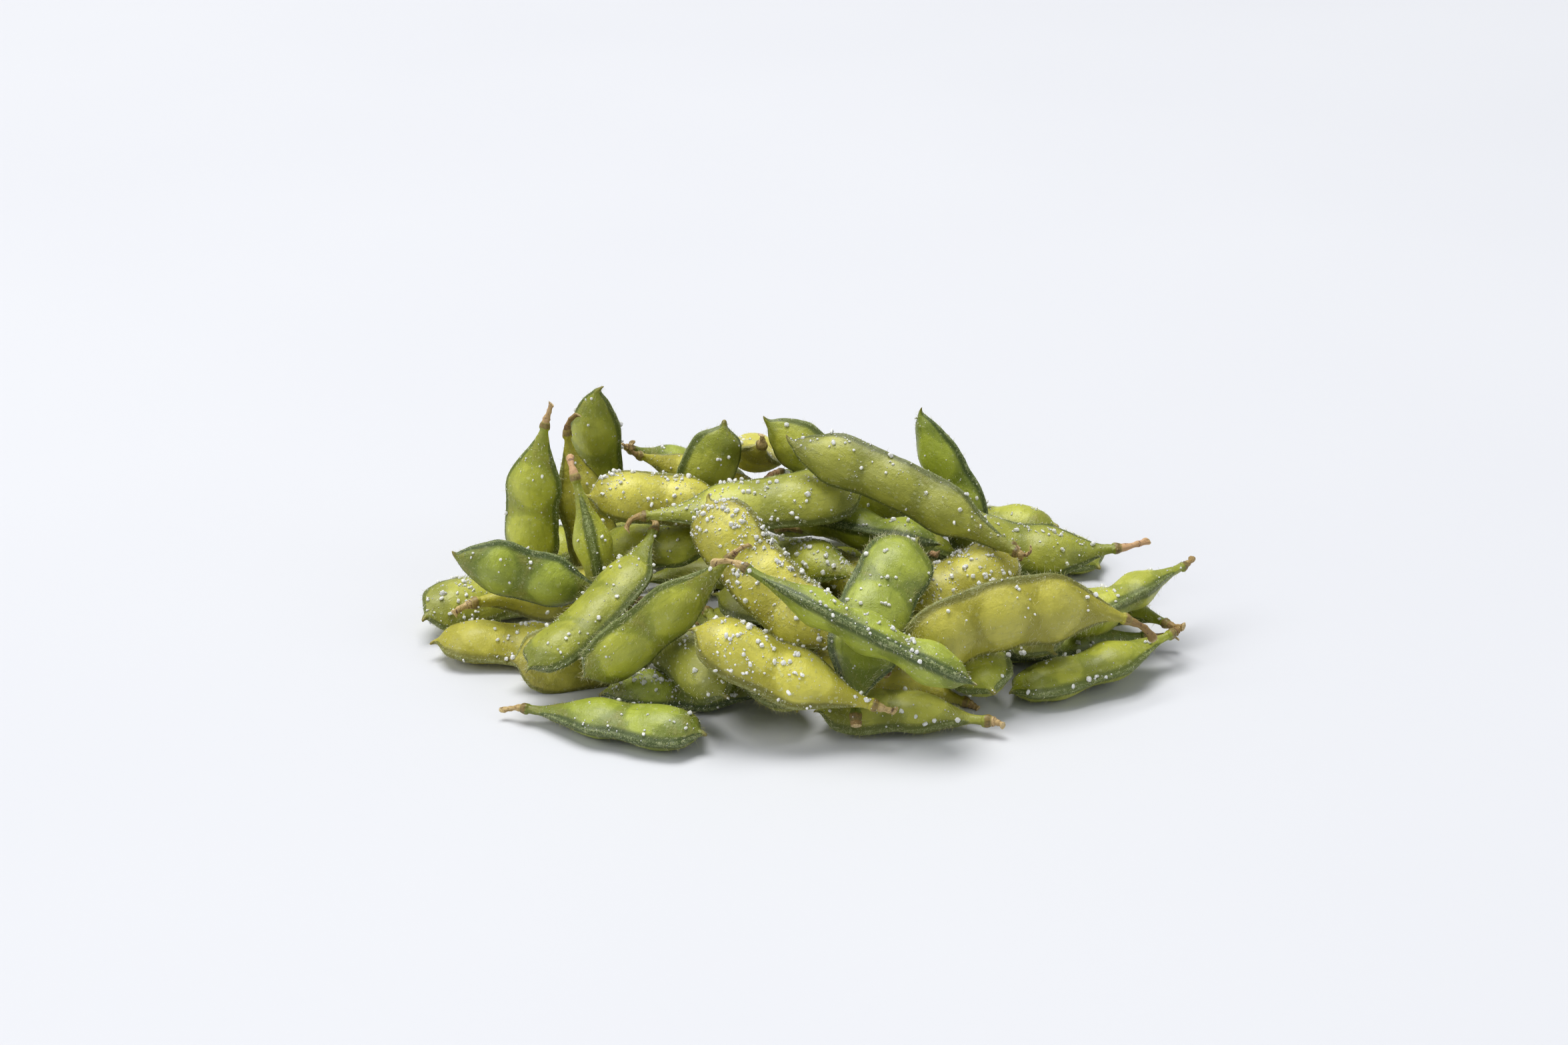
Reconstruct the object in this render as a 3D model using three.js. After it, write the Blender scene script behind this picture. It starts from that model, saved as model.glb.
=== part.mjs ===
// A bundle of cooked edamame pods, heaped loose on a flat surface.
//
// Every pod is one closed solid that grew in one piece: a short cut stalk, the collar of the calyx, a flat
// hull that swells over each bean and pinches in between, and a pointed beak. The pods are set down near
// the places where they are wanted, and then settle together under gravity until they rest on the table
// and on each other.
//
// Units are millimetres and degrees. +Z is up, the table is z = 0, and the origin is under the middle.

import * as THREE from "three";

// ---------------------------------------------------------------- driving dimensions

const POD_WIDTH = 14.8; // seam to seam, across a bean
const POD_THICKNESS = 10.4; // face to face, over a bean
const STALK_LENGTH = 7.5;
const STALK_RADIUS = 0.95;
const COLLAR_RADIUS = 1.75;
const COLLAR_LENGTH = 1.3;
const NECK_LENGTH = 3.6; // from the collar to where the hull begins to open
const WAIST_WIDTH = 0.91; // between two beans, as a share of the width over a bean
const WAIST_THICKNESS = 0.7;
const LONGEST = { 1: 35, 2: 46.5 }; // a longer hull than this holds one bean more
const BEAK_FROM = 0.955; // where the beak begins, as a share of the hull's length
const SIDES = 8; // corners round a section; two of them are the seams
const CORNER_WIDTH = 0.72; // reach of the corners between seam and face, as a share of the half width
const CORNER_THICKNESS = 0.66;

const CLEARANCE = 0.5; // kept between the beads that stand for two pods
const PRESSED_IN = 1.2; // how far a soft pod flattens where it lies on the table

// ---------------------------------------------------------------- shape of one pod

// Even random numbers from 0 to 1, the same at every run.
function dice(seed) {
  let state = seed;
  return () => {
    state = (state * 1664525 + 1013904223) % 4294967296;
    return state / 4294967296;
  };
}

const radians = THREE.MathUtils.degToRad;

// How many beans a hull of this length holds.
function beansIn(length) {
  if (length < LONGEST[1]) return 1;
  return length < LONGEST[2] ? 2 : 3;
}

// The sections of a pod from the cut of its stalk to its beak: where each lies along the pod, measured from
// the collar, with its half width and half thickness.
function sectionsOf({ length, width, thickness, stalk, beans, waistWidth, pointed, random }) {
  const w = width / 2;
  const t = thickness / 2;
  const sections = [
    [-stalk, STALK_RADIUS * 1.2, STALK_RADIUS * 1.15],
    [-stalk * 0.62, STALK_RADIUS, STALK_RADIUS],
    [-stalk * 0.24, STALK_RADIUS * 1.05, STALK_RADIUS],
    [0, COLLAR_RADIUS, COLLAR_RADIUS],
    [COLLAR_LENGTH, COLLAR_RADIUS * 0.92, COLLAR_RADIUS * 0.86],
    [NECK_LENGTH, COLLAR_RADIUS * 1.05, COLLAR_RADIUS * 0.8],
  ];
  const first = { 1: 0.5, 2: 0.38, 3: 0.31 }[beans];
  const last = { 1: 0.5, 2: 0.71, 3: 0.79 }[beans];
  const pitch = beans > 1 ? (last - first) / (beans - 1) : 0;
  sections.push([length * (first * 0.5 + 0.02), w * 0.56, t * 0.46]);
  for (let bean = 0; bean < beans; bean++) {
    if (bean > 0) {
      const waist = first + (bean - 0.5) * pitch;
      sections.push([length * waist, w * waistWidth, t * WAIST_THICKNESS]);
    }
    const fullness = bean === 0 ? 0.9 : 1;
    const plump = fullness * (0.92 + 0.14 * random());
    const at = first + (bean + 0.16 * (random() - 0.5)) * pitch;
    sections.push([length * at, w * (0.95 + 0.05 * fullness), t * plump]);
  }
  const blunt = BEAK_FROM - last;
  sections.push([length * (last + blunt * 0.5), w * (0.92 - 0.2 * pointed), t * (0.82 - 0.14 * pointed)]);
  sections.push([length * (last + blunt * 0.85), w * (0.6 - 0.2 * pointed), t * (0.5 - 0.14 * pointed)]);
  sections.push([length * BEAK_FROM, w * 0.16, t * 0.18]);
  return sections;
}

// The frame of the pod's midline at a place along it, in the pod's own axes: X from collar to beak, Y from
// seam to seam and Z out of a face. bend curves the pod in its flat plane and arch out of it, and twist
// turns its section.
function turnAt(along, { length, bend, arch, twist, sway, stalk, curl, curlSide }) {
  const share = THREE.MathUtils.clamp(along / length, 0, 1);
  const past = along < 0 ? -along / stalk : 0;
  const inPlane = bend * (share - 0.5) + sway * Math.sin(2 * Math.PI * share);
  return new THREE.Quaternion().setFromEuler(
    new THREE.Euler(
      radians(twist * (share - 0.5)),
      radians(-arch * (share - 0.5) + past * curl * Math.sin(radians(curlSide))),
      radians(inPlane + past * curl * Math.cos(radians(curlSide))),
      "ZYX",
    ),
  );
}

// A point of the midline every STEP mm, from the stalk's cut to the beak's tip.
function midlineOf(pod) {
  const STEP = 1;
  const line = [{ along: 0, at: new THREE.Vector3() }];
  for (const way of [-1, 1]) {
    const end = way < 0 ? -pod.stalk : pod.length;
    const steps = Math.ceil(Math.abs(end) / STEP);
    const at = new THREE.Vector3();
    for (let i = 1; i <= steps; i++) {
      const middle = (end * (i - 0.5)) / steps;
      at.addScaledVector(new THREE.Vector3(1, 0, 0).applyQuaternion(turnAt(middle, pod)), end / steps);
      line.push({ along: (end * i) / steps, at: at.clone() });
    }
  }
  return line.sort((a, b) => a.along - b.along);
}

function pointOn(line, along) {
  const next = Math.max(1, line.findIndex((p) => p.along >= along - 1e-9));
  const a = line[next - 1];
  const b = line[next];
  return a.at.clone().lerp(b.at, (along - a.along) / (b.along - a.along));
}

// The corners of every section, ring by ring, with the centre of the stalk's cut first and the tip last.
function cornersOf(pod) {
  const rings = pod.sections.map(([along, w, t]) => {
    const centre = pointOn(pod.line, along);
    const turn = turnAt(along, pod);
    return Array.from({ length: SIDES }, (_, side) => {
      const angle = (2 * Math.PI * side) / SIDES;
      const between = side % 2 === 1;
      const y = between ? Math.sign(Math.cos(angle)) * w * CORNER_WIDTH : Math.cos(angle) * w;
      const z = between ? Math.sign(Math.sin(angle)) * t * CORNER_THICKNESS : Math.sin(angle) * t;
      return new THREE.Vector3(0, y, z).applyQuaternion(turn).add(centre);
    });
  });
  return { cut: pointOn(pod.line, -pod.stalk), rings, tip: pointOn(pod.line, pod.length) };
}

// One closed surface through those corners.
function hullGeometry({ cut, rings, tip }) {
  const points = [cut, ...rings.flat(), tip];
  const corner = (ring, side) => 1 + ring * SIDES + (side % SIDES);
  const end = points.length - 1;
  const last = rings.length - 1;
  const faces = [];
  for (let side = 0; side < SIDES; side++) {
    faces.push(0, corner(0, side + 1), corner(0, side));
    faces.push(end, corner(last, side), corner(last, side + 1));
    for (let ring = 0; ring < last; ring++) {
      const [a, b] = [corner(ring, side), corner(ring, side + 1)];
      const [c, d] = [corner(ring + 1, side), corner(ring + 1, side + 1)];
      faces.push(a, b, d, a, d, c);
    }
  }
  return new THREE.BufferGeometry().setFromPoints(points).setIndex(faces);
}

// Beads that fill the pod: three across where it is flat, one where it is round. They stand for it while it
// settles.
function beadsOf(pod) {
  const beads = [];
  const { sections } = pod;
  for (let i = 0; i < sections.length; i++) {
    const [from, w0, t0] = sections[i];
    const [to, w1, t1] = sections[i + 1] ?? [pod.length, 0.3, 0.3];
    const steps = Math.max(1, Math.ceil((to - from) / (0.62 * Math.min(t0 + t1, 6.5) * 0.6)));
    for (let k = 0; k < steps; k++) {
      const share = k / steps;
      const w = w0 + (w1 - w0) * share;
      const t = t0 + (t1 - t0) * share;
      const along = from + (to - from) * share;
      const centre = pointOn(pod.line, along);
      const turn = turnAt(along, pod);
      beads.push({ at: centre, radius: t });
      if (w < 1.25 * t) continue;
      for (const way of [-1, 1]) {
        const across = new THREE.Vector3(0, (way * w) / 2, 0).applyQuaternion(turn);
        beads.push({ at: centre.clone().add(across), radius: Math.min(t, w / 2) });
      }
    }
  }
  return beads;
}

// ---------------------------------------------------------------- the bundle as it is set down

// Where each pod is wanted: its collar, its beak, and the way that one of its faces looks. Words after that
// change its shape. A pod that is held stands wedged between its neighbours.
const UP = [0, 0, 1];
const SLOPE = [0, -6, 8];
const BACK = [0, 6, 8];

const PODS = [
  // On the table, along the front and the right
  [[14, -60, 5], [-28, -47, 8], SLOPE, {}],
  [[-60, -49, 5], [-18, -60, 5], UP, {}],
  [[-4, -44, 10], [-43, -46, 10], SLOPE, { width: 12.5, pointed: 0.7 }],
  [[-44, -28, 6], [-84, -20, 6], [-3, -5, 8], {}],
  [[41, -56, 5], [2, -52, 5], UP, {}],
  [[38, -44, 10], [-2, -38, 9], SLOPE, { width: 12.5 }],
  [[30, -10, 14], [46, -50, 7], [5, -5, 7], { width: 15.2 }],
  [[38, -4, 15], [58, -41, 8], [-2, -7, 7], { width: 15.2 }],
  [[84, -20, 5], [46, -42, 5], UP, {}],
  [[79, -13, 5], [36, -24, 9], UP, {}],
  [[88, -8, 12], [58, -32, 8], [-5, 4, 8], { width: 12.5 }],
  [[82, -22, 7], [50, 4, 16], [4, -4, 8], { bend: 45 }],
  // On the table, along the left
  [[-48, 10, 7], [-89, -11, 7], [-1, -5, 8], {}],
  [[-76, -10, 16], [-38, 8, 8], [-2, -7, 7], {}],
  [[-26, -22, 14], [-68, -28, 12], [-4, -7, 5], { width: 15.8 }],
  // The core, hidden under the rest
  [[-30, -8, 6], [12, -14, 6], UP, {}],
  [[-40, 14, 6], [0, 20, 6], UP, {}],
  [[8, 4, 6], [48, -4, 6], UP, {}],
  [[-24, 8, 15], [20, 12, 15], UP, {}],
  // The back
  [[-80, 14, 5], [-52, 38, 5], UP, {}],
  [[-52, 46, 5], [-10, 42, 5], UP, {}],
  [[-4, 50, 5], [38, 46, 5], UP, {}],
  [[44, 44, 5], [74, 20, 5], UP, {}],
  [[-62, 30, 13], [-24, 34, 13], BACK, {}],
  [[-18, 32, 14], [24, 40, 14], BACK, {}],
  [[28, 40, 13], [62, 22, 13], BACK, {}],
  [[-50, 22, 22], [-12, 30, 22], BACK, {}],
  [[0, 34, 22], [40, 26, 20], BACK, {}],
  // Low on the left flank
  [[7, -19, 10], [-32, -28, 14], SLOPE, { width: 12.5, pointed: 0.6 }],
  [[-42, -32, 12], [-13, -60, 7], [-4, -7, 5], { width: 13 }],
  [[-24, -22, 13], [-1, -57, 8], SLOPE, { width: 15.8 }],
  [[-15, -43, 26], [-53, -45, 5], [1, -9, 0], { width: 13.5 }],
  [[-42, -20, 23], [-79, -16, 35], [-2, -9, 0], { width: 14, pointed: 1, held: 0.03 }],
  // Standing on end at the left
  [[-56, 7, 45], [-58, 7, 5], [-2, -9, 0], { width: 13.6, held: 0.03 }],
  [[-51, 0, 47], [-45, -6, 7], [9, 1, 1], { width: 13, held: 0.03 }],
  [[-52, 10, 48], [-38, 8, 10], [5, -7, 2], { width: 13.6, held: 0.03 }],
  [[-46, 26, 6], [-47, 20, 50], [0, -9, 0], { width: 12.5, pointed: 1, held: 0.03 }],
  // The middle, under the top ones
  [[-14, 0, 26], [-48, 12, 26], SLOPE, { width: 12, pointed: 0.8 }],
  [[20, -28, 18], [-20, -12, 17], SLOPE, {}],
  [[-12, 12, 26], [28, -10, 26], SLOPE, {}],
  [[-8, 18, 30], [34, -4, 27], [0, 1, 9], {}],
  [[13, -22, 28], [-18, 4, 20], SLOPE, { width: 14 }],
  // The right flank
  [[16, -26, 20], [51, -17, 31], SLOPE, {}],
  [[76, 6, 8], [34, 14, 19], SLOPE, {}],
  [[50, 20, 8], [30, 30, 45], [-5, -8, 2], { width: 12, pointed: 1, held: 0.4 }],
  [[74, -33, 11], [22, -52, 12], [2, -9, 4], { width: 16.4, bend: 62 }],
  // The large ones that lean on the front
  [[12, -60, 7], [27, -18, 33], [2, -5, 8], { width: 16.8, bend: -46, held: 0.02 }],
  [[8, -48, 12], [-24, -12, 37], [-3, -6, 7], { width: 16, bend: -36, held: 0.05 }],
  [[-12, -44, 36], [38, -58, 14], [5, 4, 8], { width: 12.5, held: 0.03 }],
  // The top
  [[-38, 10, 20], [-18, 14, 58], [3, -9, 1], { held: 0.1 }],
  [[-12, 8, 37], [-52, 3, 38], SLOPE, { width: 14 }],
  [[-38, 22, 37], [-6, 30, 18], SLOPE, { width: 13 }],
  [[-40, 28, 28], [-10, 44, 10], [4, -4, 8], { width: 13 }],
  [[-11, 12, 46], [-9, 48, 20], [0, 5, 8], { arch: 40 }],
  [[-3, 20, 35], [24, 44, 12], [5, -4, 7], {}],
  [[-34, -10, 29], [-58, -49, 6], [-5, -6, 6], { bend: -24, waistWidth: 0.97, held: 0.02 }],
  [[30, 12, 22], [-12, 16, 50], [-1, -9, 0], { width: 12.5, pointed: 1 }],
  [[48, 4, 18], [3, 12, 48], [6, 3, 7], { width: 11, thickness: 8.4, pointed: 1 }],
  [[-36, -13, 38], [16, 4, 42], SLOPE, { width: 14.8, bend: 18, beans: 2, held: 0.02 }],
  [[48, -22, 23], [-3, 2, 48], [-5, -7, 5], {
    width: 12, thickness: 8.6, bend: 6, waistWidth: 0.97, pointed: 1,
  }],
];

// A pod with its shape and its pose. Its own origin is its centre.
function makePod([collar, beak, face, shape], index) {
  const random = dice(9176 + 7919 * index);
  random();
  const spread = (least, most) => least + (most - least) * random();
  const from = new THREE.Vector3(...collar);
  const to = new THREE.Vector3(...beak);
  const pod = {
    length: from.distanceTo(to),
    beans: beansIn(from.distanceTo(to)),
    width: POD_WIDTH * spread(0.93, 1.05),
    thickness: POD_THICKNESS * spread(0.93, 1.05),
    bend: spread(-26, 26),
    arch: spread(-14, 14),
    twist: spread(-30, 30),
    sway: spread(-5, 5),
    stalk: STALK_LENGTH * spread(0.7, 1.2),
    curl: spread(25, 80),
    curlSide: spread(0, 360),
    waistWidth: WAIST_WIDTH,
    pointed: 0,
    random,
    ...shape,
  };
  pod.sections = sectionsOf(pod);
  pod.line = midlineOf(pod);
  pod.corners = cornersOf(pod);
  pod.beads = beadsOf(pod);
  return posed(pod, from, to, new THREE.Vector3(...face));
}

// The turn from the world's axes to those of a body that points one way, with its face towards another.
function axesOf(along, face) {
  const x = along.clone().normalize();
  const y = face.clone().cross(x).normalize();
  return new THREE.Matrix4().makeBasis(x, y, x.clone().cross(y));
}

// Turns the pod so that its collar and beak lie on the line from one point to the other.
function posed(pod, from, to, face) {
  const start = pointOn(pod.line, 0);
  const end = pointOn(pod.line, pod.length);
  const own = axesOf(end.clone().sub(start), new THREE.Vector3(0, 0, 1));
  const turn = axesOf(to.clone().sub(from), face).multiply(own.transpose());
  const centre = start.add(end).multiplyScalar(0.5);
  for (const bead of pod.beads) bead.at.sub(centre);
  for (const corner of [pod.corners.cut, ...pod.corners.rings.flat(), pod.corners.tip]) corner.sub(centre);
  return {
    ...pod,
    place: from.clone().add(to).multiplyScalar(0.5),
    turn: new THREE.Quaternion().setFromRotationMatrix(turn),
  };
}

// ---------------------------------------------------------------- settling

// First the pods make room for each other near the places where they are wanted, then they sink until they
// rest, and last they only move apart. sink is how far each pod sinks in a step, pull the share of the way
// back to its wanted place, and grip the share of a sideways slip that a touch holds back.
const STAGES = [
  { steps: 240, sink: 0, pull: 0.04, grip: 0 },
  { steps: 200, sink: 0.12, pull: 0.003, grip: 0.9 },
  { steps: 240, sink: 0, pull: 0, grip: 0 },
];
const RISE = 0.3; // at the start each pod hangs this much higher than the one before, to come to lie on it
const SWEEPS = 4; // times that touching pods are pushed apart in each step
const SIDEWAYS = 0.35; // how easily a pod moves sideways, where 1 is how easily it moves up
const STIFFNESS = 900; // how hard a pod is to tip over; it is half as hard to roll
const NEAR = 3; // beads closer than this are watched until the next search
const SEARCH_EVERY = 10;
const TOUCHES = 6; // the deepest touches between two pods that are followed

function placeBeads(pod) {
  for (const bead of pod.beads) bead.now.copy(bead.at).applyQuaternion(pod.turn).add(pod.place);
}

// Pairs of pods with the pairs of their beads that might touch soon.
function nearPairs(pods) {
  const pairs = [];
  for (let i = 0; i < pods.length; i++) {
    for (let j = i + 1; j < pods.length; j++) {
      const [a, b] = [pods[i], pods[j]];
      if (a.place.distanceTo(b.place) > a.reach + b.reach + NEAR) continue;
      const beads = [];
      for (const p of a.beads) {
        for (const q of b.beads) {
          const limit = p.radius + q.radius + NEAR;
          if (p.now.distanceToSquared(q.now) < limit * limit) beads.push([p, q]);
        }
      }
      if (beads.length) pairs.push({ a, b, beads });
    }
  }
  return pairs;
}

const arm = new THREE.Vector3();
const shift = new THREE.Vector3();
const spin = new THREE.Vector3();
const turned = new THREE.Quaternion();

// The shift and the spin that a push at a point gives a pod, and how far the point itself goes with it.
function answer(pod, point, push) {
  shift.set(push.x * SIDEWAYS, push.y * SIDEWAYS, push.z);
  arm.copy(point).sub(pod.place);
  spin.copy(arm).cross(push).applyQuaternion(turned.copy(pod.turn).invert());
  spin.divide(pod.inertia).applyQuaternion(pod.turn);
  return shift.dot(push) + arm.copy(spin).cross(point.clone().sub(pod.place)).dot(push);
}

function nudge(pod, point, push, amount) {
  answer(pod, point, push);
  pod.shift.addScaledVector(shift, amount);
  pod.spin.addScaledVector(spin, amount);
  pod.touches += 1;
}

function applyNudges(pod) {
  if (!pod.touches) return;
  const share = 1 / Math.sqrt(pod.touches);
  pod.place.addScaledVector(pod.shift, share);
  const angle = pod.spin.length() * share;
  if (angle > 1e-9) {
    turned.setFromAxisAngle(spin.copy(pod.spin).normalize(), angle);
    pod.turn.premultiply(turned).normalize();
  }
  pod.shift.set(0, 0, 0);
  pod.spin.set(0, 0, 0);
  pod.touches = 0;
  placeBeads(pod);
}

const way = new THREE.Vector3();
const point = new THREE.Vector3();
const slip = new THREE.Vector3();

// Holds back the slip of a's bead p over b's bead q, or over the table.
function holdSlip(a, b, p, q, depth, grip) {
  slip.copy(p.now).sub(p.before);
  if (q) slip.sub(q.now).add(q.before);
  slip.addScaledVector(way, -slip.dot(way));
  const size = slip.length();
  if (size < 1e-6) return;
  slip.divideScalar(size);
  const ease = answer(a, point, slip) + (b ? answer(b, point, slip) : 0);
  const amount = Math.min(grip * size, 4 * depth) / ease;
  nudge(a, point, slip, -amount);
  if (b) nudge(b, point, slip, amount);
}

function pushApart({ a, b, beads }, grip) {
  const touching = [];
  for (const [p, q] of beads) {
    const depth = p.radius + q.radius + CLEARANCE - p.now.distanceTo(q.now);
    if (depth > 0) touching.push({ p, q, depth });
  }
  touching.sort((one, other) => other.depth - one.depth);
  for (const { p, q, depth } of touching.slice(0, TOUCHES)) {
    way.copy(p.now).sub(q.now).normalize();
    point.copy(q.now).addScaledVector(way, q.radius);
    const ease = answer(a, point, way) + answer(b, point, way);
    nudge(a, point, way, (0.9 * depth) / ease);
    nudge(b, point, way, (-0.9 * depth) / ease);
    if (grip) holdSlip(a, b, p, q, depth, grip);
  }
  applyNudges(a);
  applyNudges(b);
}

function pushUp(pod, grip) {
  for (const bead of pod.beads) {
    const depth = bead.radius - PRESSED_IN - bead.now.z;
    if (depth <= 0) continue;
    way.set(0, 0, 1);
    point.copy(bead.now).setZ(0);
    nudge(pod, point, way, depth / answer(pod, point, way));
    if (grip) holdSlip(pod, null, bead, null, depth, grip);
  }
  applyNudges(pod);
}

function settle(pods) {
  for (const pod of pods) {
    for (const bead of pod.beads) {
      bead.now = new THREE.Vector3();
      bead.before = new THREE.Vector3();
    }
    pod.reach = Math.max(...pod.beads.map((bead) => bead.at.length() + bead.radius));
    pod.inertia = new THREE.Vector3(STIFFNESS / 2, STIFFNESS, STIFFNESS);
    pod.wanted = { place: pod.place.clone(), turn: pod.turn.clone() };
    pod.shift = new THREE.Vector3();
    pod.spin = new THREE.Vector3();
    pod.touches = 0;
    pod.place.z += RISE * pods.indexOf(pod);
    placeBeads(pod);
  }
  let pairs = [];
  for (const { steps, sink, pull, grip } of STAGES) {
    for (let step = 0; step < steps; step++) {
      if (step % SEARCH_EVERY === 0) pairs = nearPairs(pods);
      for (const pod of pods) {
        for (const bead of pod.beads) bead.before.copy(bead.now);
        const height = pod.place.z;
        const hold = Math.max(pull, pod.held && sink ? pod.held : 0);
        pod.place.lerp(pod.wanted.place, pull);
        if (sink) pod.place.z = height - sink;
        pod.turn.slerp(pod.wanted.turn, hold);
        placeBeads(pod);
      }
      for (let sweep = 0; sweep < SWEEPS; sweep++) {
        for (const pair of pairs) pushApart(pair, grip);
        for (const pod of pods) pushUp(pod, grip);
      }
    }
  }
}

// ---------------------------------------------------------------- the bundle as it lies

// The pods with each skin, by their place in the list. The rest are a fresh green.
const FRESH = 0x959e45;
const SKINS = [
  { color: 0xb3ae52, pods: [1, 4, 6, 14, 15, 36, 40, 43, 46, 48, 51, 52, 54] }, // yellow
  { color: 0x6a7934, pods: [2, 3, 10, 29, 33, 41, 45, 47, 49, 53, 55] }, // deep green
  { color: 0x918d4e, pods: [5, 8, 13, 18, 22, 30, 31, 39, 59, 60] }, // olive
];

const pods = PODS.map(makePod);
settle(pods);

const bundle = new THREE.Group();
bundle.name = "edamame_pod_bundle";

const inPlace = (pod) => (corner) => {
  const at = corner.clone().applyQuaternion(pod.turn).add(pod.place);
  at.z = Math.max(at.z, 0);
  return at;
};

pods.forEach((pod, index) => {
  const { cut, rings, tip } = pod.corners;
  const put = inPlace(pod);
  const ringsInPlace = rings.map((ring) => ring.map(put));
  const geometry = hullGeometry({ cut: put(cut), rings: ringsInPlace, tip: put(tip) });
  const { color } = SKINS.find((skin) => skin.pods.includes(index + 1)) ?? { color: FRESH };
  const material = new THREE.MeshStandardMaterial({ color, roughness: 0.5, metalness: 0 });
  const mesh = new THREE.Mesh(geometry, material);
  mesh.name = `pod_${String(index + 1).padStart(2, "0")}`;
  bundle.add(mesh);
});

// The origin goes under the middle of the whole bundle.
const box = new THREE.Box3().setFromObject(bundle);
const middle = box.getCenter(new THREE.Vector3());
for (const mesh of bundle.children) mesh.geometry.translate(-middle.x, -middle.y, 0);

export default bundle;
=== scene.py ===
"""A heap of cooked edamame pods on a pale table, dressed from its plain solids.

Every plain solid gives the run of one pod: where its midline goes, how wide and how thick it is at each
bean and each pinch, and how it is turned. Two straight pods, with two and three beans, are modelled in
full, and a copy of the right one is laid along each run. Hairs and salt go on last.

Lengths are in metres. MM turns millimetres into metres.
"""

import math
import random

import bmesh
import bpy
import numpy as np
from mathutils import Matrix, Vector, noise
from mathutils.bvhtree import BVHTree


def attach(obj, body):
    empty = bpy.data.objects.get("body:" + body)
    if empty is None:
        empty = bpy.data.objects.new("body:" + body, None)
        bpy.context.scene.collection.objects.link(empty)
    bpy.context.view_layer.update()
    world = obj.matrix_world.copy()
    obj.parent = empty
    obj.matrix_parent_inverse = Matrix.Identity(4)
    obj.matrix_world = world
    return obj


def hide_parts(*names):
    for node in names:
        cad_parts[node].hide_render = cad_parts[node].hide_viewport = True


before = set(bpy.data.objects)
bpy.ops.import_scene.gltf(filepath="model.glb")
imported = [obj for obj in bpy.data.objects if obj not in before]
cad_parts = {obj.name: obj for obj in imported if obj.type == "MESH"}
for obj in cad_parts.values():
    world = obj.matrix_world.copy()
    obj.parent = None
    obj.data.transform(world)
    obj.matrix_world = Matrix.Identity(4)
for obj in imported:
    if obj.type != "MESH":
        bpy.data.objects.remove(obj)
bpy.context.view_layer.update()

MM = 0.001
BODY = "root"

HAIRS = 29000  # as many are tried, and those that would run into a pod are left out
SALT_GRAINS = 14000
SALT_DUST = 5000

# ---------------------------------------------------------------- camera, table and light

CAMERA_LENS = 60
CAMERA_SENSOR = 36
CAMERA_DISTANCE = 612 * MM
CAMERA_ELEVATION = 25
CAMERA_TARGET = Vector((-6.4, 4.4, 25)) * MM

TABLE_SIZE = 8
TABLE_DROP = 0.1 * MM  # the table lies this much lower than the pods, so that no face lies in another

GLOW_TINT = (0.90, 0.93, 1.0, 1)
GLOW_STRENGTH = 0.32
WALL_TINT = (0.80, 0.82, 0.86, 1)
# The name of each lamp, its place, what it points at, its width and depth, its watts and its tint.
SOFT_BOXES = [
    ("overhead", (-0.45, 0.75, 3.3), (0, 0, 0), (2.4, 1.8), 117, (1.0, 0.985, 0.955)),
    ("left", (-2.7, -1.05, 2.25), (0, 0, 0.02), (1.8, 1.8), 41, (1.0, 0.99, 0.97)),
    ("right", (2.7, -0.9, 1.8), (0, 0, 0.02), (1.8, 1.8), 13, (0.95, 0.98, 1.0)),
]


def set_camera():
    """The camera that takes the main picture, a little above the heap and straight in front of it."""
    low = math.radians(CAMERA_ELEVATION)
    data = bpy.data.cameras.new("camera")
    data.lens = CAMERA_LENS
    data.sensor_width = CAMERA_SENSOR
    data.clip_start = 10 * MM
    camera = bpy.data.objects.new("camera", data)
    bpy.context.scene.collection.objects.link(camera)
    back = Vector((0, -math.cos(low), math.sin(low)))
    camera.location = CAMERA_TARGET + back * CAMERA_DISTANCE
    camera.rotation_euler = (-back).to_track_quat("-Z", "Y").to_euler()
    bpy.context.scene.camera = camera


def set_table():
    bpy.ops.object.select_all(action="DESELECT")
    bpy.ops.mesh.primitive_plane_add(size=TABLE_SIZE, location=(0, 0, -TABLE_DROP))
    table = bpy.context.object
    table.name = "table_top"
    bpy.ops.object.transform_apply(location=True)
    paint = Finish("pale table")
    grain = paint.noise(paint.object_place(), scale=4.0, detail=2)
    tone = paint.mix(grain, shade("#d0d2d8"), shade("#d5d7dc"))
    paint.skin(colour=tone, rough=0.6 + 0.05 * grain, specular=0.3)
    table.data.materials.append(paint.material)


def soft_box(name, place, aim, size, watts, tint):
    """One rectangular lamp that points at its aim."""
    data = bpy.data.lights.new(name, "AREA")
    data.shape = "RECTANGLE"
    data.size, data.size_y = size
    data.energy = watts
    data.color = tint
    lamp = bpy.data.objects.new(name, data)
    bpy.context.scene.collection.objects.link(lamp)
    lamp.location = place
    lamp.rotation_euler = (Vector(aim) - Vector(place)).to_track_quat("-Z", "Y").to_euler()


def set_light():
    """A glow from all around, in place of which the camera sees a pale wall, and three soft lamps."""
    world = bpy.data.worlds.new("studio")
    world.use_nodes = True
    nodes, links = world.node_tree.nodes, world.node_tree.links
    glow = nodes["Background"]
    glow.inputs["Color"].default_value = GLOW_TINT
    glow.inputs["Strength"].default_value = GLOW_STRENGTH
    wall = nodes.new("ShaderNodeBackground")
    wall.inputs["Color"].default_value = WALL_TINT
    seen = nodes.new("ShaderNodeLightPath")
    either = nodes.new("ShaderNodeMixShader")
    links.new(seen.outputs["Is Camera Ray"], either.inputs[0])
    links.new(glow.outputs[0], either.inputs[1])
    links.new(wall.outputs[0], either.inputs[2])
    links.new(either.outputs[0], nodes["World Output"].inputs["Surface"])
    bpy.context.scene.world = world
    for box in SOFT_BOXES:
        soft_box(*box)
    view = bpy.context.scene.view_settings
    view.view_transform = "Standard"
    view.look = "None"


# ---------------------------------------------------------------- finishes


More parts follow.
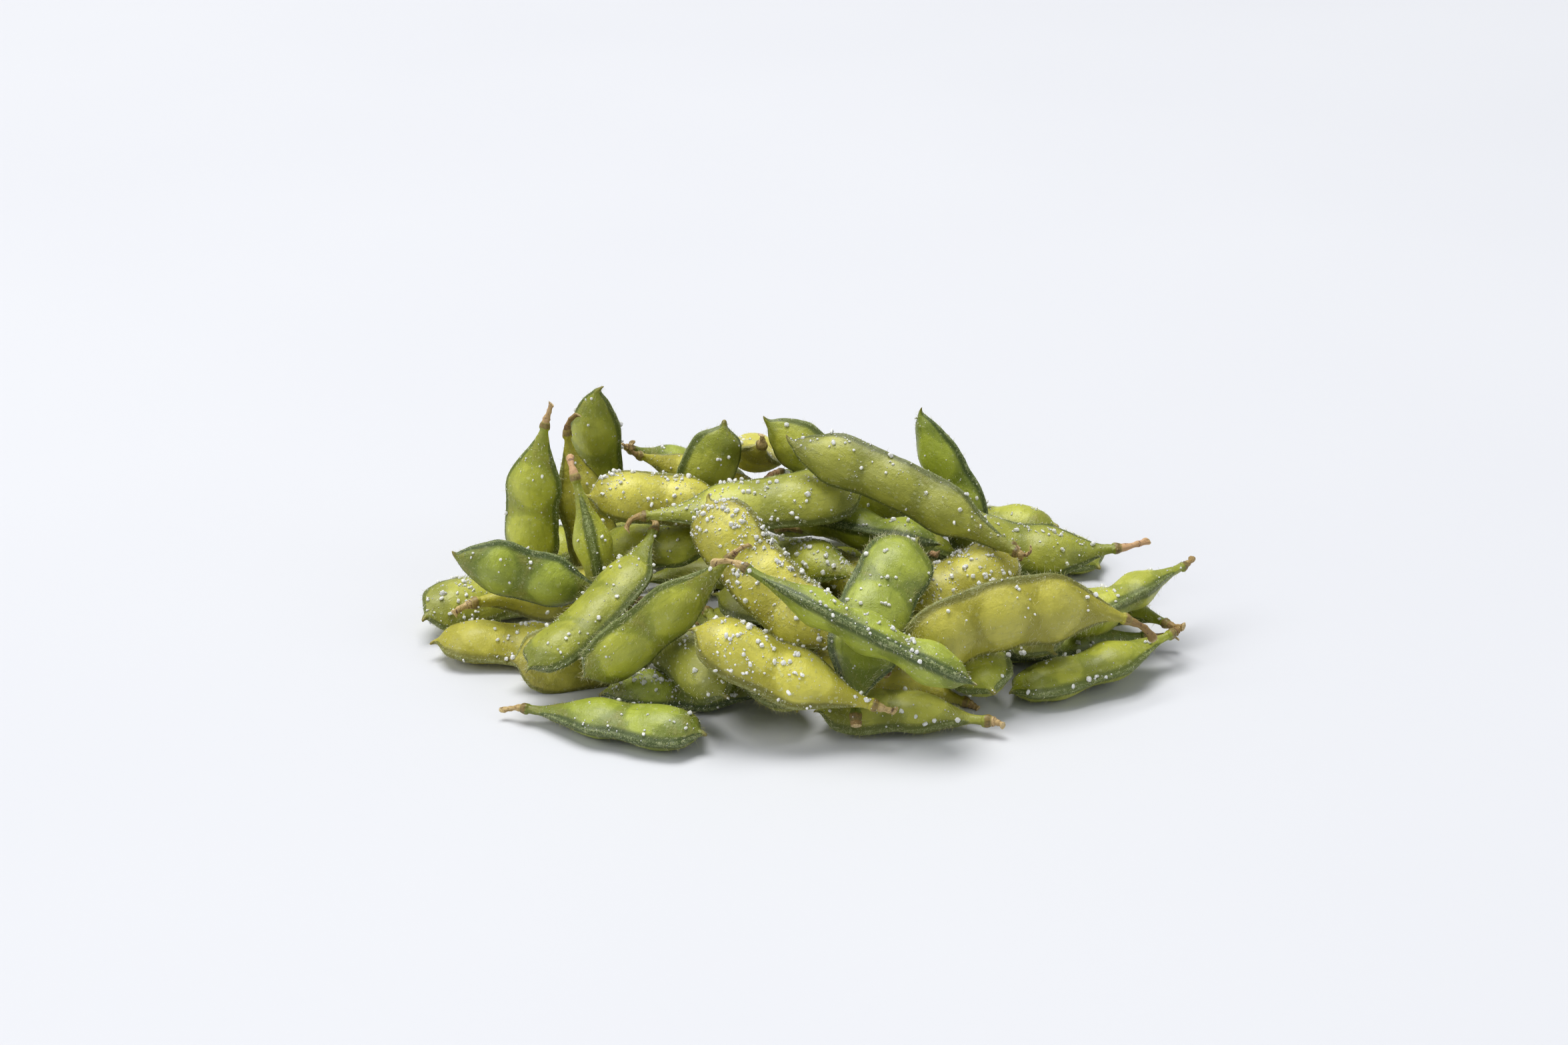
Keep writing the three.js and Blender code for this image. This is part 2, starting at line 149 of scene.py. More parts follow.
def shade(code):
    """A colour written as #rrggbb, as a shader takes it."""
    parts = [int(code[i : i + 2], 16) / 255 for i in (1, 3, 5)]
    return tuple(p / 12.92 if p <= 0.04045 else ((p + 0.055) / 1.055) ** 2.4 for p in parts) + (1.0,)


class Socket:
    """A value that comes out of a shader node. Sums on it add Math nodes."""

    def __init__(self, finish, socket):
        self.finish = finish
        self.socket = socket

    def math(self, operation, first, second):
        return self.finish.node("ShaderNodeMath", {"operation": operation}, {0: first, 1: second})

    def __add__(self, other):
        return self.math("ADD", self, other)

    __radd__ = __add__

    def __sub__(self, other):
        return self.math("SUBTRACT", self, other)

    def __rsub__(self, other):
        return self.math("SUBTRACT", other, self)

    def __mul__(self, other):
        return self.math("MULTIPLY", self, other)

    __rmul__ = __mul__

    def band(self, low, high):
        """0 at low and 1 at high, with a smooth rise between. low may be the greater of the two."""
        settings = {"interpolation_type": "SMOOTHSTEP"}
        inputs = {"Value": self, "From Min": min(low, high), "From Max": max(low, high)}
        rise = self.finish.node("ShaderNodeMapRange", settings, inputs)
        return rise if low < high else 1 - rise


class Finish:
    """A material and the nodes that make it."""

    def __init__(self, name):
        self.material = bpy.data.materials.new(name)
        self.material.use_nodes = True
        self.nodes = self.material.node_tree.nodes
        self.links = self.material.node_tree.links

    def node(self, kind, settings=None, inputs=None, out=0):
        """Adds a node with these settings, and these values or links on its inputs."""
        node = self.nodes.new(kind)
        for name, value in (settings or {}).items():
            setattr(node, name, value)
        for name, value in (inputs or {}).items():
            if isinstance(value, Socket):
                self.links.new(value.socket, node.inputs[name])
            else:
                node.inputs[name].default_value = value
        return Socket(self, node.outputs[out])

    def object_place(self):
        return self.node("ShaderNodeTexCoord", out="Object")

    def mark(self, name, out="Fac"):
        """What the mesh carries under this name."""
        return self.node("ShaderNodeAttribute", {"attribute_name": name}, out=out)

    def stretch(self, place, by):
        return self.node("ShaderNodeVectorMath", {"operation": "MULTIPLY"}, {0: place, 1: by})

    def noise(self, place, scale, detail=3.0, rough=0.5, bend=0.0):
        inputs = {"Vector": place, "Scale": scale, "Detail": detail}
        inputs.update({"Roughness": rough, "Distortion": bend})
        return self.node("ShaderNodeTexNoise", {"noise_dimensions": "3D"}, inputs)

    def cells(self, place, scale):
        inputs = {"Vector": place, "Scale": scale}
        return self.node("ShaderNodeTexVoronoi", {"feature": "F1"}, inputs, out="Distance")

    def mix(self, share, first, second):
        """Colours mixed: the first where share is 0 and the second where it is 1."""
        settings = {"data_type": "RGBA", "blend_type": "MIX", "clamp_factor": True}
        return self.node("ShaderNodeMix", settings, {0: share, 6: first, 7: second}, out=2)

    def bent(self, place, wander, reach):
        """The place, moved a little by a noise, so that what is drawn there has ragged edges."""
        return self.node("ShaderNodeVectorMath", {"operation": "ADD"}, {0: place, 1: wander * reach})

    def relief(self, height, depth, under=None):
        inputs = {"Height": height, "Strength": 1.0, "Distance": depth}
        if under is not None:
            inputs["Normal"] = under
        return self.node("ShaderNodeBump", inputs=inputs)

    def skin(self, colour, rough, normal=None, **steady):
        """Joins what varies to the surface, and sets on it what is the same all over."""
        surface = self.nodes["Principled BSDF"]
        for name, value in (("Base Color", colour), ("Roughness", rough), ("Normal", normal)):
            if isinstance(value, Socket):
                self.links.new(value.socket, surface.inputs[name])
            elif value is not None:
                surface.inputs[name].default_value = value
        names = {
            "specular": "Specular IOR Level",
            "coat": "Coat Weight",
            "coat_rough": "Coat Roughness",
            "inside": "Subsurface Weight",
            "inside_reach": "Subsurface Scale",
            "inside_tint": "Subsurface Radius",
            "clear": "Transmission Weight",
            "bend_light": "IOR",
        }
        for name, value in steady.items():
            surface.inputs[names[name]].default_value = value


# What a pod's skin looks like where it swells over a bean, on its flat sides, and along its seams.
SKINS = {
    "fresh": ("#bec244", "#949c2a", "#4f5d16"),
    "yellow": ("#d6cf55", "#b5ae34", "#6b6a1c"),
    "deep": ("#a5b13e", "#7a8828", "#384a18"),
    "olive": ("#babc4b", "#969a34", "#58611f"),
}
SKIN_GLOSS = 0.35  # roughness where the skin is smoothest
WRINKLE_DEPTH = 0.32 * MM
PORE_DEPTH = 0.045 * MM
# How light goes on under the surface.
SKIN_GLOW = {"inside": 0.12, "inside_reach": 1.4 * MM, "inside_tint": (1.0, 1.0, 0.25)}
SALT_GLOW = {"inside": 0.6, "inside_reach": 0.5 * MM, "inside_tint": (1.0, 1.0, 1.0)}
FROST_DEPTH = 0.04 * MM


def stalk_colour(paint, colour, place, fibre, tint):
    """The colour of the hull, with the stalk's, the collar's and the torn cut's laid over it."""
    # The stalk is tan with brown knots, and the collar under it is darker.
    knot = paint.noise(paint.stretch(place, (1.1, 0.5, 0.5)), 1.0, 3, 0.6)
    wood = paint.mix((fibre + tint * 0.35).band(0.35, 0.72), shade("#8f7440"), shade("#cbb17a"))
    wood = paint.mix(tint.band(0.35, 0.75) * 0.5, wood, shade("#c58f72"))
    wood = paint.mix(knot.band(0.55, 0.66) * 0.8, wood, shade("#56332a"))
    colour = paint.mix(paint.mark("stalk"), colour, wood)
    husk = paint.mix((fibre + knot * 0.5).band(0.55, 0.85), shade("#4a2f24"), shade("#8d7240"))
    rim = (paint.mark("collar") + (fibre - 0.5) * 0.9).band(0.35, 0.95)
    colour = paint.mix(rim * 0.85, colour, husk)
    return paint.mix(paint.mark("torn") * (0.35 + 0.6 * fibre.band(0.4, 0.6)), colour, shade("#dcc592"))


def skin_finish(name):
    """The skin of one kind of pod: colours laid one over the other, its roughness and its relief."""
    bulge, side, rim = (shade(code) for code in SKINS[name])
    paint = Finish(f"{name} pod skin")
    place = paint.mark("rest_place", "Vector")  # in millimetres, on the pod before it was bent
    seam = paint.mark("seam")
    bean = paint.mark("bean")
    stalk = paint.mark("stalk")
    beak = paint.mark("beak")
    tint = paint.mark("tint")
    ageing = paint.mark("ageing")
    salted = paint.mark("salted")
    # light is each pod's lightness, partly its own tone and partly painted light and shade
    light = paint.mark("light")

    broad = paint.noise(place, 0.13, 3)
    cloud = paint.noise(place, 0.45, 4, 0.6)
    streak = paint.noise(paint.stretch(place, (0.14, 1.1, 1.1)), 1.0, 3, 0.55, 0.4)
    fine = paint.noise(place, 3.2, 2, 0.6)
    cell = paint.cells(place, 1.9)
    speck = paint.noise(place, 1.15, 3, 0.7)

    # Where the skin lies tight on a bean it is clear and yellower, and it ends there in a ragged line.
    swell = (bean + (broad - 0.5) * 1.2 + (cloud - 0.5) * 0.4 + tint * 0.4).band(0.1, 1.0)
    tight = (bean + (broad - 0.5) * 0.9 + (cloud - 0.5) * 0.55 + (streak - 0.5) * 0.3).band(0.5, 0.68)
    colour = paint.mix(swell * 0.62 + tight * 0.38, side, bulge)
    colour = paint.mix((streak - 0.5).band(0.02, 0.3) * 0.3, colour, rim)
    colour = paint.mix((broad + cloud * 0.4).band(0.86, 0.6) * 0.22, colour, rim)
    # The pinches turn olive brown where the skin has aged.
    pinch = (1 - bean.band(0.05, 0.55)) * (cloud + ageing).band(0.62, 1.05)
    colour = paint.mix(pinch * 0.42, colour, shade("#8d8040"))
    # A dark rim follows each seam, and the paler line on its crest is a painted highlight.
    edge = (seam + (streak - 0.5) * 0.3 + (cloud - 0.5) * 0.25).band(0.42, 0.85)
    colour = paint.mix(edge * 0.9, colour, rim)
    # painted highlight along the crest of each seam
    crest_highlight = seam.band(0.93, 1.0) * (fine + cloud * 0.6).band(0.7, 0.95)
    colour = paint.mix(crest_highlight * 0.5, colour, shade("#a3ad76"))
    # Fine pale dots all over, crumbs of brine where salt lay, and a few brown marks.
    dot = cell.band(0.17, 0.06) * fine.band(0.4, 0.6)
    colour = paint.mix(dot * 0.62, colour, shade("#dfe4a0"))
    crumb = paint.cells(paint.bent(place, fine, 0.5), 0.75)
    brine = crumb.band(0.36, 0.24) * speck.band(0.47, 0.56) * salted
    colour = paint.mix(brine * 0.5, colour, shade("#dfe3b4"))
    brown = speck.band(0.70, 0.75) * (0.4 + ageing)
    colour = paint.mix(brown * 0.8, colour, shade("#6a4a22"))
    # The beak dries brown at its point.
    colour = paint.mix(beak.band(0.45, 1.0) * 0.7, colour, shade("#857440"))
    # Each pod's colour is scaled by its lightness, which paints in part of the light and shade that
    # falls on the pod.
    colour = paint.stretch(colour, light)
    fibre = paint.noise(paint.stretch(place, (0.5, 3.0, 3.0)), 1.0, 4, 0.65)
    colour = stalk_colour(paint, colour, place, fibre, tint)

    rough = SKIN_GLOSS + 0.16 * cloud + 0.1 * edge + 0.3 * stalk + 0.15 * dot + 0.08 * (1 - swell)
    wrinkle = paint.noise(paint.stretch(place, (1.3, 0.45, 0.45)), 1.0, 3, 0.6, 0.6)
    normal = paint.relief(cloud + wrinkle * (0.3 + 0.5 * pinch) + 0.25 * brine, WRINKLE_DEPTH)
    normal = paint.relief(fine + 0.6 * cell.band(0.0, 0.45) + fibre * stalk * 2, PORE_DEPTH, normal)
    paint.skin(colour, rough, normal, specular=0.45, coat=0.2, coat_rough=0.28, **SKIN_GLOW)
    return paint.material


def salt_finish():
    paint = Finish("salt crystals")
    place = paint.object_place()
    cloudy = paint.noise(place, 1400, 3)
    colour = paint.mix(cloudy.band(0.35, 0.7), shade("#f4f5ee"), shade("#ffffff"))
    frost = paint.noise(place, 3500, 2)
    rough = 0.12 + 0.35 * frost
    normal = paint.relief(frost, FROST_DEPTH)
    paint.skin(colour, rough, normal, clear=0.15, bend_light=1.5, specular=0.6, **SALT_GLOW)
    return paint.material


def hair_finish():
    paint = Finish("pod hairs")
    tone = paint.noise(paint.object_place(), 260, 2)
    colour = paint.mix(tone.band(0.35, 0.65), shade("#b7b268"), shade("#e9e6bd"))
    paint.skin(colour, 0.45 + 0.2 * tone, specular=0.4)
    return paint.material


# ---------------------------------------------------------------- what a mesh carries


def points_of(mesh):
    """The places of a mesh's vertices, one in each row."""
    values = np.empty(len(mesh.vertices) * 3)
    mesh.vertices.foreach_get("co", values)
    return values.reshape(-1, 3)


def move_points(mesh, points):
    mesh.vertices.foreach_set("co", points.ravel())
    mesh.update()


def mark_of(mesh, name):
    values = np.empty(len(mesh.vertices), np.float32)
    mesh.attributes[name].data.foreach_get("value", values)
    return values


def write_mark(mesh, name, values):
    """Writes one number at each vertex. A finish reads it by its name."""
    mesh.attributes.new(name, "FLOAT", "POINT").data.foreach_set("value", values.astype(np.float32))


def rest_places_of(mesh):
    """Where each vertex lies on the straight pod, in millimetres, for the pattern of the skin."""
    values = np.empty(len(mesh.vertices) * 3, np.float32)
    mesh.attributes["rest_place"].data.foreach_get("vector", values)
    return values.reshape(-1, 3)


def unit_of(vector):
    return vector / np.linalg.norm(vector)


# ---------------------------------------------------------------- the run of a pod, read from its solid


def smooth_through(marks, values, at):
    """A smooth curve through values at these marks, read at other places."""
    marks, values, at = np.asarray(marks), np.asarray(values, float), np.asarray(at)
    flat = values.reshape(len(marks), -1)
    gaps = np.diff(marks)
    steps = np.diff(flat, axis=0) / gaps[:, None]
    slopes = np.empty_like(flat)
    share = (gaps[1:] / (gaps[1:] + gaps[:-1]))[:, None]
    slopes[1:-1] = steps[:-1] * share + steps[1:] * (1 - share)
    slopes[0], slopes[-1] = steps[0], steps[-1]
    i = np.clip(np.searchsorted(marks, at, side="right") - 1, 0, len(marks) - 2)
    t = np.clip((at - marks[i]) / gaps[i], 0, 1)[:, None]
    a, b = flat[i], flat[i + 1]
    c, d = slopes[i] * gaps[i][:, None], slopes[i + 1] * gaps[i][:, None]
    curve = a + t * (c + t * (3 * (b - a) - 2 * c - d + t * (2 * (a - b) + c + d)))
    return curve.reshape((len(at),) + values.shape[1:])


CORNERS = 8  # round each ring of a solid, with the seams at 0 and 4 once line_up has turned it
COLLAR_RING = 3  # counted from the cut of the stalk
FIRST_HULL = 4  # the ring where the hull begins
FIRST_WAIST = 8  # a waist, when there is one, and every second ring after it
WAIST_FILL = 0.4  # how far a seam runs straight past a waist, from 0 to 1
TOUCHING = 0.02 * MM  # a corner lower than this is pressed on the table
TIP_WIDTH = 0.34 * MM
TIP_THICKNESS = 0.3 * MM
LOOKS = np.array((0.0, -0.6, 0.8))  # the seam that looks this way is the main one


def rings_of(solid):
    """The solid's rings of corners, from the cut of the stalk to the beak, and the tip of the beak."""
    copy = bmesh.new()
    copy.from_mesh(solid.data)
    bmesh.ops.remove_doubles(copy, verts=copy.verts, dist=0.01 * MM)
    copy.verts.ensure_lookup_table()
    ends = [v for v in copy.verts if len(v.link_edges) == CORNERS]
    walks = []
    for end in ends:
        seen, rings, ring = {end}, [], [end]
        while ring:
            found = {e.other_vert(v) for v in ring for e in v.link_edges} - seen
            seen |= found
            ring = sorted(found, key=lambda v: v.index)
            rings.append(ring)
        walks.append(rings[:-2])  # the last two are the other end and nothing
    # The stalk's second ring is slimmer than the ring one step in from the beak.
    reach = [max((v.co - sum_of(walk[1]) / CORNERS).length for v in walk[1]) for walk in walks]
    first = 0 if reach[0] < reach[1] else 1
    rings = [in_order(ring) for ring in walks[first]]
    tip = np.array(ends[1 - first].co)
    copy.free()
    return rings, tip


def sum_of(ring):
    return sum((v.co for v in ring), Vector())


def in_order(ring):
    """The corners of a ring one after another, as an array."""
    left, walk = set(ring[1:]), [ring[0]]
    while left:
        near = [v for v in (e.other_vert(walk[-1]) for e in walk[-1].link_edges) if v in left]
        walk.append(min(near, key=lambda v: v.index))
        left.discard(walk[-1])
    return np.array([v.co for v in walk])


def line_up(rings):
    """The rings with their corners all in step, and the two seams at corners 0 and 4."""
    centres = np.array([ring.mean(0) for ring in rings])
    onward = np.gradient(centres, axis=0)
    for i, ring in enumerate(rings):
        spread = ring - centres[i]
        turn = np.cross(spread, np.roll(spread, -1, axis=0)).sum(0)
        if turn @ onward[i] < 0:
            rings[i] = ring[::-1].copy()
        if i:
            before = rings[i - 1] - centres[i - 1]
            here = rings[i] - centres[i]
            fits = [((np.roll(here, k, axis=0) - before) ** 2).sum() for k in range(CORNERS)]
            rings[i] = np.roll(rings[i], int(np.argmin(fits)), axis=0)
    rings = np.array(rings)
    across = rings[FIRST_HULL + 1 :, :4] - rings[FIRST_HULL + 1 :, 4:]
    seam = int(np.argmax(np.linalg.norm(across, axis=2).sum(0)))
    if (rings[FIRST_HULL:, seam] - rings[FIRST_HULL:, seam + 4]).sum(0) @ LOOKS < 0:
        seam += 4
    return np.roll(rings, -seam, axis=1)


def run_of(solid):
    """Marks along the pod, and at each its midline and its half width and half thickness as vectors."""
    rings, tip = rings_of(solid)
    rings = line_up(rings)
    middles, widths, depths = [], [], []
    for ring in rings:
        pressed = ring[:, 2] < TOUCHING
        pairs = [(ring[k] + ring[k + 4]) / 2 for k in (0, 2) if not (pressed[k] or pressed[k + 4])]
        middle = np.mean(pairs, axis=0) if pairs else ring.mean(0)
        middles.append(middle)
        for k, kept in ((0, widths), (2, depths)):
            halves = (ring[k] - middle, middle - ring[k + 4])
            one_sided = pressed[k] or pressed[k + 4]
            kept.append(max(halves, key=np.linalg.norm) if one_sided else sum(halves) / 2)
    middles.append(tip)
    widths.append(unit_of(widths[-1]) * TIP_WIDTH)
    depths.append(unit_of(depths[-1]) * TIP_THICKNESS)
    middles, widths, depths = map(np.array, (middles, widths, depths))
    for waist in range(FIRST_WAIST, len(rings) - 3, 2):
        straight = (widths[waist - 1] + widths[waist + 1]) / 2
        widths[waist] += WAIST_FILL * (straight - widths[waist])
    gaps = np.linalg.norm(np.diff(middles, axis=0), axis=1)
    marks = np.concatenate(([0.0], np.cumsum(gaps)))
    return marks - marks[COLLAR_RING], middles, widths, depths


# ---------------------------------------------------------------- the straight pods that are modelled

ROWS = 24
LENGTHS = {2: 42, 3: 52}  # millimetres from the collar, for a pod of two beans and for one of three
FIRST_BEAN = {2: 0.38, 3: 0.31}  # as a share of the length
LAST_BEAN = {2: 0.71, 3: 0.79}
BEAK_FROM = 0.955
WIDTH = 7.0  # half, from seam to seam
THICKNESS = 5.2  # half, from face to face

# The stalk and the collar: how far from the collar, half width and half thickness, in millimetres.
STALK_STATIONS = [
    (-7, 1.14, 1.09),
    (-4.34, 0.95, 0.95),
    (-1.68, 1.0, 0.95),
    (0, 1.75, 1.75),
    (1.3, 1.61, 1.5),
    (3.6, 1.84, 1.4),
]
FIRST_SWELL = len(STALK_STATIONS) + 1  # the station at the first bean

# Width and thickness as shares of those at a bean.
AT_NECK = (0.56, 0.46)
AT_WAIST = (0.88, 0.7)
AT_SHOULDER = (0.92, 0.82)
AT_NARROWS = (0.6, 0.5)
AT_BEAK = (0.16, 0.18)

# Where each row of the section lies between the main seam (1, 0) and the other one (-1, 0): two raised
# lips, a hollow beside them, and the swell of the side.
SECTION = [
    (0.985, 0.0),
    (1.0, 0.09),
    (0.93, 0.14),
    (0.84, 0.29),
    (0.69, 0.54),
    (0.40, 0.86),
    (0.0, 1.0),
    (-0.40, 0.86),
    (-0.69, 0.55),
    (-0.85, 0.31),
    (-0.94, 0.155),
    (-0.995, 0.075),
    (-1.0, 0.0),
]
SECTION_FROM = 1.2  # millimetres from the collar: the rings up to SECTION_TO take on the section
SECTION_TO = 3.7
SECTION_RINGS = 3

# The stalk and the collar again, from the cut: how far from the collar, and how much they stand out.
STALK_FORM = [
    (-7.0, 0.86), (-6.7, 1.0), (-6.2, 0.82), (-5.4, 0.64), (-4.6, 0.72), (-4.1, 0.9), (-3.6, 0.7),
    (-2.8, 0.66), (-2.1, 0.74), (-1.5, 0.84), (-0.9, 0.66), (-0.45, 0.64), (-0.1, 0.73), (0.35, 0.76),
    (0.75, 0.74), (1.1, 0.66), (1.5, 0.68), (2.4, 0.75), (3.6, 0.8),
]
NECK_FROM = 3.6
NECK_ENDS = 13  # millimetres from the collar, where the pod is no longer slimmer than its solid
NECK_SLIM = 0.82
HULL_STEP = 2.1  # millimetres between two rings
BLUNT_STEP = 0.85  # the same where the pod narrows to its beak
BEAK_FORM = [(0.3, 1.0), (0.6, 1.0), (0.85, 0.9), (1, 0.6)]  # the same, with shares of the beak
CALYX_LOBES = 5
CUT_RIM = 0.3 * MM
CUT_HOLLOW = 0.35 * MM
CUT_PITH = 0.25 * MM  # the middle of the hollow stands out again by this much
CUT_TORN = 0.4 * MM  # the end that is torn
NEAR = 0.01 * MM
ORDER = Vector((1.0, 0.137, 0.0193))  # no two vertices, edges or faces lie equally far this way


def stations_of(beans):
    """The sections of a straight pod: millimetres from the collar, half width and half thickness."""
    length, first, last = LENGTHS[beans], FIRST_BEAN[beans], LAST_BEAN[beans]
    pitch = (last - first) / (beans - 1)
    blunt = BEAK_FROM - last

    def station(share, size):
        return length * share, WIDTH * size[0], THICKNESS * size[1]

    stations = STALK_STATIONS + [station(first * 0.5 + 0.02, AT_NECK)]
    for bean in range(beans):
        if bean:
            stations.append(station(first + (bean - 0.5) * pitch, AT_WAIST))
        stations.append(station(first + bean * pitch, (1, 1)))
    stations += [
        station(last + blunt * 0.5, AT_SHOULDER),
        station(last + blunt * 0.85, AT_NARROWS),
        station(BEAK_FROM, AT_BEAK),
        (length, TIP_WIDTH / MM, TIP_THICKNESS / MM),
    ]
    return np.array(stations)


def profile(beans, places):
    """Half width and half thickness of a straight pod at these places along it, in millimetres."""
    stations = stations_of(beans)
    return smooth_through(stations[:, 0], stations[:, 1:], np.asarray(places, float))


def ring_places(beans):
    """Where the rings of a modelled pod lie along it, in millimetres, and how much each stands out."""
    length = LENGTHS[beans]
    blunt = length * (LAST_BEAN[beans] + (BEAK_FROM - LAST_BEAN[beans]) * 0.4)
    end = length * BEAK_FROM
    hull = list(np.linspace(NECK_FROM, blunt, round((blunt - NECK_FROM) / HULL_STEP) + 1))[1:]
    hull += list(np.linspace(blunt, end, round((end - blunt) / BLUNT_STEP) + 1))[1:]
    neck = ((NECK_FROM, NECK_ENDS), (NECK_SLIM, 1.0))
    places = STALK_FORM + [(x, float(np.interp(x, *neck))) for x in hull]
    return places + [((1 - share) * end + share * length, out) for share, out in BEAK_FORM]


def pick(mesh, wanted):
    """Selects the vertices that wanted says yes to, and nothing else."""
    bpy.ops.mesh.select_all(action="DESELECT")
    for v in mesh.verts:
        v.select = wanted(v)
    mesh.select_flush_mode()


def put_in_order(mesh):
    """Numbers the mesh by where its parts lie, because the tools number them differently in each run."""
    mesh.verts.sort(key=lambda v: v.co.dot(ORDER))
    mesh.edges.sort(key=lambda e: (e.verts[0].co + e.verts[1].co).dot(ORDER))
    mesh.faces.sort(key=lambda f: f.calc_center_median().dot(ORDER))


def model_pod(beans):
    """A straight pod along +X, with its collar at the origin."""
    places = ring_places(beans)
    sizes = profile(beans, [x for x, _ in places]) * np.array([out for _, out in places])[:, None]
    cut = places[0][0] * MM
    bpy.ops.object.select_all(action="DESELECT")
    bpy.ops.mesh.primitive_circle_add(
        vertices=ROWS, radius=MM, fill_type="NOTHING", location=(cut, 0, 0), rotation=(0, math.pi / 2, 0)
    )
    pod = bpy.context.object
    bpy.ops.object.transform_apply(location=True, rotation=True, scale=True)
    bpy.ops.object.mode_set(mode="EDIT")
    bpy.ops.mesh.select_mode(type="VERT")
    bpy.ops.mesh.select_all(action="SELECT")
    draw_out(pod, [x for x, _ in places], sizes)
    hollow_cut(pod, cut)
    roughen_stalk(pod, cut, beans)
    bpy.ops.mesh.select_all(action="SELECT")
    bpy.ops.mesh.normals_make_consistent(inside=False)
    put_in_order(bmesh.from_edit_mesh(pod.data))
    bpy.ops.object.mode_set(mode="OBJECT")
    finer = pod.modifiers.new("finer", "SUBSURF")
    finer.levels = finer.render_levels = 1
    bpy.ops.object.modifier_apply(modifier=finer.name)
    mark_skin(pod, beans)
    return pod


def draw_out(pod, places, sizes):
    """Extrudes the first ring along the pod, sized anew at each place, and closes it at the beak."""
    before = (1.0, 1.0)
    for i, (x, size) in enumerate(zip(places, sizes)):
        middle = (x * MM, 0, 0)
        if i:
            step = (x - places[i - 1]) * MM
            bpy.ops.mesh.extrude_region_move(TRANSFORM_OT_translate={"value": (step, 0, 0)})
        grow = (1, size[0] / before[0], size[1] / before[1])
        bpy.ops.transform.resize(value=grow, center_override=middle)
        before = size
        if SECTION_FROM < x <= SECTION_TO:
            press_section(pod, x, middle)
    bpy.ops.mesh.merge(type="CENTER")


def hollow_cut(pod, cut):
    """Closes the cut of the stalk with a rim and a hollow in it."""
    mesh = bmesh.from_edit_mesh(pod.data)
    put_in_order(mesh)
    pick(mesh, lambda v: abs(v.co.x - cut) < NEAR)
    bpy.ops.mesh.edge_face_add()
    for move in (CUT_HOLLOW, -CUT_PITH):
        bpy.ops.mesh.inset(thickness=CUT_RIM)
        bpy.ops.transform.translate(value=(move, 0, 0))
    bpy.ops.mesh.poke()


def roughen_stalk(pod, cut, beans):
    """Tears the cut, makes the stalk knobbly and adds what is left of the calyx."""
    mesh = bmesh.from_edit_mesh(pod.data)
    torn_to = cut + CUT_TORN
    pick(mesh, lambda v: v.co.x < torn_to)
    bpy.ops.transform.vertex_random(offset=0.22 * MM, seed=beans + 1)
    pick(mesh, lambda v: torn_to < v.co.x < -1.0 * MM)
    bpy.ops.transform.vertex_random(offset=0.09 * MM, seed=beans + 4)
    # The calyx is a ragged ring with short lobes that lie on the neck.
    for lobe in range(CALYX_LOBES):
        turn = 2 * math.pi * (lobe + 0.2 * math.sin(3.1 * lobe + beans)) / CALYX_LOBES
        out = Vector((0, math.cos(turn), math.sin(turn)))
        pick(mesh, lambda v: 0.3 * MM < v.co.x < 1.2 * MM and v.co.yz.normalized().dot(out.yz) > 0.93)
        bpy.ops.transform.translate(value=(0.5 * MM, out.y * 0.14 * MM, out.z * 0.14 * MM))
    pick(mesh, lambda v: -0.6 * MM < v.co.x < 0.5 * MM)
    bpy.ops.transform.vertex_random(offset=0.12 * MM, seed=beans + 7)


def press_section(pod, x, middle):
    """Brings the last ring a share of the way from round to the pod's own section, row by row."""
    mesh = bmesh.from_edit_mesh(pod.data)
    ring = [v for v in mesh.verts if abs(v.co.x - x * MM) < NEAR]
    ring.sort(key=lambda v: abs(math.atan2(v.co.z, v.co.y)))
    share = 1 / SECTION_RINGS
    for row, (across, through) in enumerate(SECTION):
        turn = 2 * math.pi * row / ROWS
        ky = 1.0 if row == ROWS // 4 else across / math.cos(turn)
        kz = 1.0 if row in (0, ROWS // 2) else through / math.sin(turn)
        pair = set(ring[max(0, 2 * row - 1) : 2 * row + 1])  # one vertex at each seam, two in between
        pick(mesh, lambda v: v in pair)
        bpy.ops.transform.resize(value=(1, ky**share, kz**share), center_override=middle)
    pick(mesh, lambda v: v in ring)


# Where the marks on the skin begin and how far they reach, in millimetres along the pod.
HULL_FROM = 2.5
HULL_FADE = 3
SWELL_REACH = 5.2
TIGHT_REACH = 6.4
BEAK_LENGTH = 3.2
TORN_FROM = -6.45


